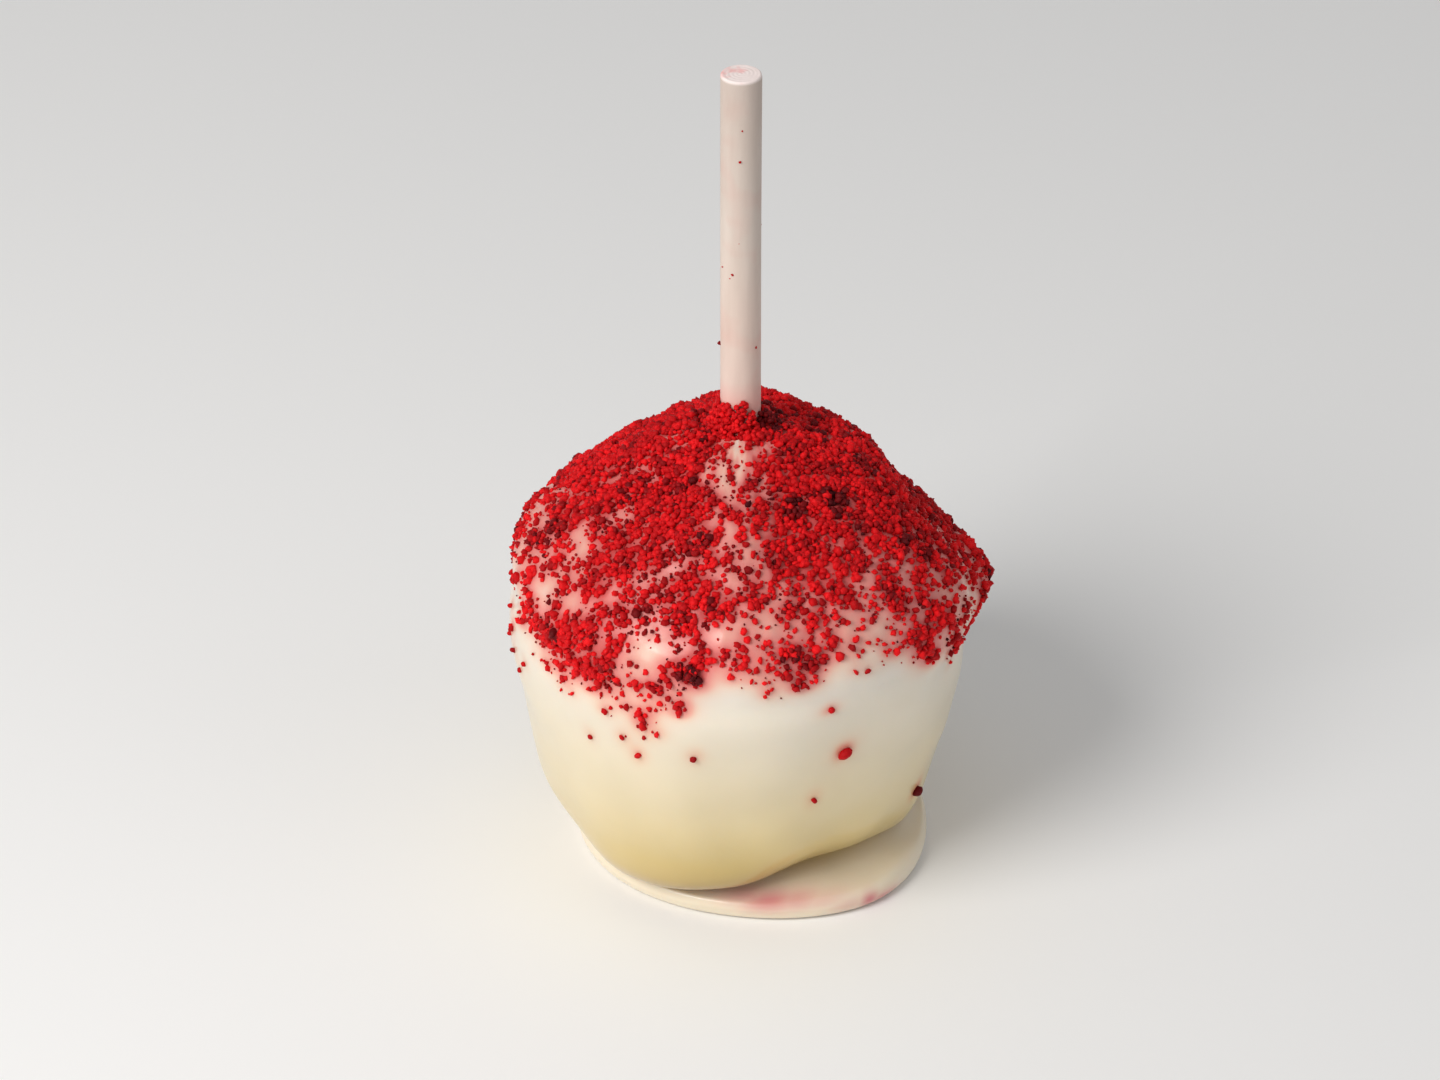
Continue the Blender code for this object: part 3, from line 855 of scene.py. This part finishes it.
def coatingMaterial():
    # ivory with a warm tint that is partly painted reflection, the foot's tint, clouds, bled red, stains
    # and painted shade in the crease over it
    material, tree, shader = newMaterial("whiteCoating", coatFinish["roughness"][0], Subsurface_Weight=0.25,
                                         Subsurface_Scale=2.5 * mm, Coat_Roughness=0.12)
    shader.inputs["Subsurface Radius"].default_value = (1.0, 0.75, 0.5)
    # warm tint, partly painted warm reflection from below
    body = mixed(tree, painted(tree, "warmthAndBounce"), coatFinish["ivory"], coatFinish["warmAndBounce"])
    body = mixed(tree, painted(tree, "foot"), body, coatFinish["foot"])
    clouds = mixed(tree, grain(tree, *coatFinish["clouds"]), *coatFinish["cloudTints"])
    body = mixed(tree, 1.0, body, clouds, "MULTIPLY")
    blush = painted(tree, "blush")
    body = mixed(tree, 1.0, body, ramp(tree, blush, coatFinish["bled"]), "MULTIPLY")
    body = mixed(tree, painted(tree, "stain"), body, coatFinish["stain"])
    # painted shade in the crease over the foot
    body = mixed(tree, painted(tree, "creaseShade"), body, coatFinish["creaseShade"])
    tree.links.new(body, shader.inputs["Base Color"])
    soaking = {"Roughness": coatFinish["roughness"], "Coat Weight": coatFinish["coat"]}
    for socket, (bare, soaked) in soaking.items():
        value = addNode(tree, "ShaderNodeMapRange", {"To Min": bare, "To Max": soaked}, Value=blush)
        tree.links.new(value.outputs["Result"], shader.inputs[socket])
    depth, strength = coatFinish["dimpleBump"]
    bumped(tree, shader, grain(tree, *coatFinish["dimples"]), depth * mm, strength)
    return material


def buildCoating():
    # the grid, then the wall and floor of the stick's hole
    around = coatShape["around"]
    rim = gridPoints[-1]
    bottom = stickLow.z - coatShape["holeDepth"] * mm
    drop = bottom - rim[:, 2]
    levels = [rim[:, 2] + drop * share for share in coatShape["holeRows"]]
    wall = np.stack([np.column_stack((rim[:, :2], level)) for level in levels])
    middleX, middleY, _ = coatShape["middle"]
    poles = np.array(((middleX * mm, middleY * mm, 0), (stickMiddle.x, stickMiddle.y, bottom)))
    points = np.vstack((np.concatenate((gridPoints, wall)).reshape(-1, 3), poles))
    grids = {
        "blush": blushGrid(),
        "stain": stainGrid(),
        # painted shade in the crease
        "creaseShade": creaseShadeGrid(),
        # warm tint, partly painted warm reflection
        "warmthAndBounce": warmthAndBounceGrid(),
        "foot": ease(creaseRing, creaseRing - 0.5, gridAlong),
    }
    hidden = np.zeros(len(wall) * around + len(poles))
    values = {key: np.concatenate((grid.ravel(), hidden)) for key, grid in grids.items()}
    faces = ringFaces(gridRows + len(wall), around)
    piece = newPiece("coating", points, faces, coatingMaterial(), values)
    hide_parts("coated_cake")


buildCoating()


# The paper stick.

stickShape = {
    "around": 64,
    "rows": 120,
    "rimRows": 6,
    "rimRound": 0.35,  # rounding of the two rims
    "seamStep": 0.05,  # height of the paper's last edge
    "wobble": 0.03,
    "wobbleRise": (60, 110),  # radians per metre up the stick of its two waves
    "discRows": 16,
    "discStart": 0.06,  # the disc's first row, in shares of its radius
    "windings": 5,  # turns of paper seen on the end
    "windingDepth": 0.06,
    "windingFade": 0.1,  # from the rim inward
    "poleDepth": 0.03,  # of the discs' middles
}
stickFinish = {
    "heights": (66, 125),  # where the ramp of its colours begins and ends
    # paper pink at the foot, darker towards the top of the side; the last two stops are the end face, near
    # white: the paper's pale colour made lighter than the side as painted light on the upward end
    "colours": (
        (0.0, (0.80, 0.36, 0.33)),
        (0.10, (0.78, 0.46, 0.41)),
        (0.17, (0.75, 0.61, 0.54)),
        (0.35, (0.71, 0.59, 0.52)),
        (0.6, (0.66, 0.58, 0.52)),
        (0.88, (0.59, 0.50, 0.445)),
        (0.984, (0.57, 0.48, 0.43)),
        (0.992, (0.97, 0.88, 0.86)),
        (1.0, (0.98, 0.90, 0.88)),
    ),
    # noise: features per metre, their detail and the stretch of its pattern
    "fibres": (600, 4, (1, 1, 0.15)),
    "fibreTints": ((0.90, 0.88, 0.86), (1.08, 1.08, 1.08)),
    "blotches": (130, 2),
    "blotchTints": ((0.0, (1, 1, 1)), (0.52, (1, 1, 1)), (0.72, (1.0, 0.86, 0.85))),
    "endHeights": (124.2, 124.5),  # where the tints of the end set in
    "end": (380, 2),
    "endTints": ((0.0, (1, 1, 1)), (0.5, (1, 0.96, 0.96)), (0.62, (1.0, 0.66, 0.66)),
                 (0.75, (0.86, 0.36, 0.36))),
    "relief": (900, 4, (1, 1, 0.3)),
    "reliefBump": (0.08, 0.5),  # depth in mm and strength
}


def between(tree, height, low, high):
    # share of the way from low to high, heights in mm
    settings = {"From Min": low * mm, "From Max": high * mm}
    return addNode(tree, "ShaderNodeMapRange", settings, Value=height).outputs["Result"]


def stickMaterial():
    # rolled paper: a ramp over its height (its near-white end partly painted light) * fibres * blotches,
    # with pink tints on the end
    look = stickFinish
    material, tree, shader = newMaterial("stickPaper", 0.62, Specular_IOR_Level=0.35)
    place = tree.nodes.new("ShaderNodeTexCoord").outputs["Object"]
    height = addNode(tree, "ShaderNodeSeparateXYZ", Vector=place).outputs["Z"]
    colour = ramp(tree, between(tree, height, *look["heights"]), look["colours"])
    fibres = mixed(tree, grain(tree, *look["fibres"]), *look["fibreTints"])
    colour = mixed(tree, 1.0, colour, fibres, "MULTIPLY")
    blotches = ramp(tree, grain(tree, *look["blotches"]), look["blotchTints"])
    colour = mixed(tree, 1.0, colour, blotches, "MULTIPLY")
    tints = ramp(tree, grain(tree, *look["end"]), look["endTints"])
    tinted = mixed(tree, 1.0, colour, tints, "MULTIPLY")
    colour = mixed(tree, between(tree, height, *look["endHeights"]), colour, tinted)
    tree.links.new(colour, shader.inputs["Base Color"])
    depth, strength = look["reliefBump"]
    bumped(tree, shader, grain(tree, *look["relief"]), depth * mm, strength)
    return material


def buildStick():
    # profile (r, z) carried round: end disc, rounded rim, side, rim, disc;
    # r gets a seam step and a slight wobble, the discs a spiral groove sin(2 pi (n r / R - a / 2 pi))
    shape = stickShape
    bevel = shape["rimRound"] * mm
    flat = stickRadius - bevel
    bend = np.linspace(0, math.pi / 2, shape["rimRows"])
    discShare = np.linspace(shape["discStart"], 1, shape["discRows"])
    length = stickHigh.z - stickLow.z
    side = np.linspace(bevel, length - bevel, shape["rows"])
    r = np.concatenate((flat * discShare, flat + bevel * np.sin(bend[1:]), 0 * side[1:-1] + stickRadius,
                        flat + bevel * np.cos(bend), flat * discShare[::-1][1:]))
    z = np.concatenate((0 * discShare, bevel - bevel * np.cos(bend[1:]), side[1:-1],
                        length - bevel + bevel * np.sin(bend), length + 0 * discShare[1:]))
    turn = np.linspace(0, 2 * math.pi, shape["around"], endpoint=False)
    r, z, turn = r[:, None], z[:, None], turn[None]
    disc = np.clip((flat - r) / (shape["windingFade"] * mm), 0, 1) * np.sign(z - length / 2)
    spiral = np.sin(2 * math.pi * shape["windings"] * r / stickRadius - turn)
    groove = shape["windingDepth"] * mm * (0.5 + 0.5 * spiral)
    seam = (turn / (2 * math.pi) - 1) * shape["seamStep"] * mm
    slow, fast = shape["wobbleRise"]
    swing = np.sin(2 * turn + z * slow) + np.sin(3 * turn - z * fast + 1)
    wobble = shape["wobble"] * mm * swing / 2 - shape["wobble"] * mm
    r = r * (1 + (seam + wobble) / stickRadius)
    z = stickLow.z + z - disc * groove
    x, y = stickMiddle.x + r * np.cos(turn), stickMiddle.y + r * np.sin(turn)
    points = np.stack((x, y, z + 0 * turn), -1)
    sunk = shape["poleDepth"] * mm
    poles = np.array(((stickMiddle.x, stickMiddle.y, stickLow.z + sunk),
                      (stickMiddle.x, stickMiddle.y, stickHigh.z - sunk)))
    faces = ringFaces(len(points), shape["around"])
    points = np.vstack((points.reshape(-1, 3), poles))
    piece = newPiece("paperStick", points, faces, stickMaterial())
    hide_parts("stick")


buildStick()


# Floor, lights and camera.

studio = {
    "floor": (0.96, 0.96, 0.96),
    "floorShade": 0.98,  # what is left of it in its faint clouds
    "floorHalf": 1.6,
    "floorCells": 32,
    "floorRise": (0.9, 0.9),  # height of the step at the back, and where it begins
    "world": (1.0, 1.0, 1.0, 0.37),
    "lights": {
        "key": {"place": (-0.49, -0.44, 0.58), "size": 0.5, "power": 5.25, "colour": (1.0, 0.98, 0.95)},
        "fill": {"place": (0.7, -0.3, 0.5), "size": 0.6, "power": 0.42, "colour": (0.96, 0.98, 1.0)},
        "bounce": {"place": (-0.16, -0.26, 0.02), "size": 0.12, "power": 0.04, "colour": (1.0, 0.9, 0.7)},
    },
    "aim": (0.0, 0.0, 0.045),
}


def addFloor():
    # a square sheet, rising in a smooth step far behind: z = rise * ease(y)
    half, cells = studio["floorHalf"], studio["floorCells"]
    rise, start = studio["floorRise"]
    span = np.linspace(-half, half, cells + 1)
    x, y = np.meshgrid(span, span, indexing="xy")
    points = np.stack((x, y, rise * ease(start, half, y)), -1).reshape(-1, 3)
    row, column = np.meshgrid(np.arange(cells), np.arange(cells), indexing="ij")
    first = row * (cells + 1) + column
    above = first + cells + 1
    faces = np.stack((first, first + 1, above + 1, above), -1).reshape(-1, 4).tolist()
    mesh = bpy.data.meshes.new("floor")
    mesh.from_pydata(points.tolist(), [], faces)
    mesh.shade_smooth()
    material, tree, shader = newMaterial("paleFloor", 0.9)
    shaded = tuple(studio["floorShade"] * value for value in studio["floor"])
    tone = mixed(tree, grain(tree, 3, 1), studio["floor"], shaded)
    tree.links.new(tone, shader.inputs["Base Color"])
    mesh.materials.append(material)
    floor = bpy.data.objects.new("floor", mesh)
    bpy.context.scene.collection.objects.link(floor)


def addLight(name, light):
    # a round area light that looks at the aim
    data = bpy.data.lights.new(name, "AREA")
    data.shape = "DISK"
    data.size = light["size"]
    data.energy = light["power"]
    data.color = light["colour"]
    lamp = bpy.data.objects.new(name, data)
    lamp.location = light["place"]
    toAim = Vector(studio["aim"]) - Vector(light["place"])
    lamp.rotation_euler = toAim.to_track_quat("-Z", "Y").to_euler()
    bpy.context.scene.collection.objects.link(lamp)


def addWorld():
    # an even light from all around
    world = bpy.data.worlds.new("studio")
    world.use_nodes = True
    background = world.node_tree.nodes["Background"]
    background.inputs["Color"].default_value = (*studio["world"][:3], 1)
    background.inputs["Strength"].default_value = studio["world"][3]
    bpy.context.scene.world = world


view = {"place": (-3.97, -660.24, 460.61), "pitchDown": 31.90, "lens": 132.2}  # mm, degrees, mm


def addCamera():
    # level from side to side, looking along +y and down
    data = bpy.data.cameras.new("camera")
    data.lens = view["lens"]
    data.sensor_width = 36
    data.clip_start = 0.05
    data.clip_end = 10
    camera = bpy.data.objects.new("camera", data)
    camera.location = [value * mm for value in view["place"]]
    camera.rotation_euler = (math.radians(90 - view["pitchDown"]), 0, 0)
    bpy.context.scene.collection.objects.link(camera)
    bpy.context.scene.camera = camera


addFloor()
for name, light in studio["lights"].items():
    addLight(name, light)
addWorld()
addCamera()
bpy.context.scene.view_settings.view_transform = "Standard"
print("stage set")
